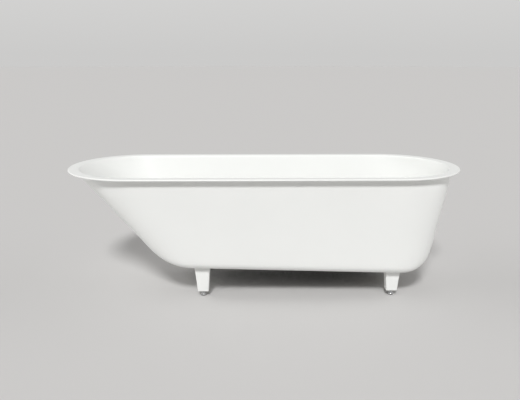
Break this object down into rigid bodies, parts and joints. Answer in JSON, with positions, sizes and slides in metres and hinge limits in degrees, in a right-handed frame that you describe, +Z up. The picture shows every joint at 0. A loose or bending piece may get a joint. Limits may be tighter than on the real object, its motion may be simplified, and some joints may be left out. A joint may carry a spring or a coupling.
{
  "type": "free-standing bathtub",
  "caption": "Free-standing white bath with a thin flat rim, a long sloped backrest, tapered feet on screw glides and a push-button waste.",
  "frame": {"origin": "on the floor, under the middle of the rim", "axes": "+X along the bath towards the drain end, +Y towards the back, where the outlet tube leaves, +Z up"},
  "size_m": [1.78, 0.76, 0.556],
  "materials": {
    "composite": "smooth satin white cast mineral composite",
    "chrome": "polished chrome plate on brass or steel",
    "brass": "turned brass, unplated",
    "steel": "bright stainless steel",
    "rubber": "matt black rubber",
    "acetal": "white moulded acetal"
  },
  "bodies": {
    "bath": {"tub_shell": "composite", "foot_head_front": "composite", "foot_head_rear": "composite", "foot_drain_front": "composite", "foot_drain_rear": "composite", "foot_inserts": "brass", "foot_screws": "steel", "foot_washers": "steel", "glide_inserts": "brass", "drain_flange": "chrome", "drain_flange_seal": "rubber", "drain_gasket": "rubber", "drain_elbow": "brass", "outlet_tube": "chrome", "outlet_washer": "rubber", "outlet_nut": "chrome", "click_housing": "brass", "click_gland": "brass", "click_spring": "steel"},
    "plug": {"plug_cap": "chrome", "plug_seal": "rubber", "plug_plunger": "steel"},
    "cam": {"click_cam": "acetal"},
    "glide_head_front": {"glide_head_front": "chrome", "glide_pad_head_front": "rubber"},
    "glide_head_rear": {"glide_head_rear": "chrome", "glide_pad_head_rear": "rubber"},
    "glide_drain_front": {"glide_drain_front": "chrome", "glide_pad_drain_front": "rubber"},
    "glide_drain_rear": {"glide_drain_rear": "chrome", "glide_pad_drain_rear": "rubber"}
  },
  "joints": [
    {"name": "plug_lift", "type": "slide", "parent": "bath", "child": "plug", "axis": [0, 0, 1], "range_m": [0, 0.01], "deforming": ["click_spring"]},
    {"name": "cam_turn", "type": "hinge", "parent": "plug", "child": "cam", "pos_m": [0.5, 0, 0.1166], "axis": [0, 0, 1], "range_deg": [0, 45]},
    {"name": "glide_head_front_screw", "type": "slide", "parent": "bath", "child": "glide_head_front", "axis": [0, 0, -1], "range_m": [-0.009, 0.015]},
    {"name": "glide_head_rear_screw", "type": "slide", "parent": "bath", "child": "glide_head_rear", "axis": [0, 0, -1], "range_m": [-0.009, 0.015]},
    {"name": "glide_drain_front_screw", "type": "slide", "parent": "bath", "child": "glide_drain_front", "axis": [0, 0, -1], "range_m": [-0.009, 0.015]},
    {"name": "glide_drain_rear_screw", "type": "slide", "parent": "bath", "child": "glide_drain_rear", "axis": [0, 0, -1], "range_m": [-0.009, 0.015]}
  ],
  "couplings": [
    {"joint": "cam_turn", "follows": "plug_lift", "rad_per_m": 78.54}
  ]
}
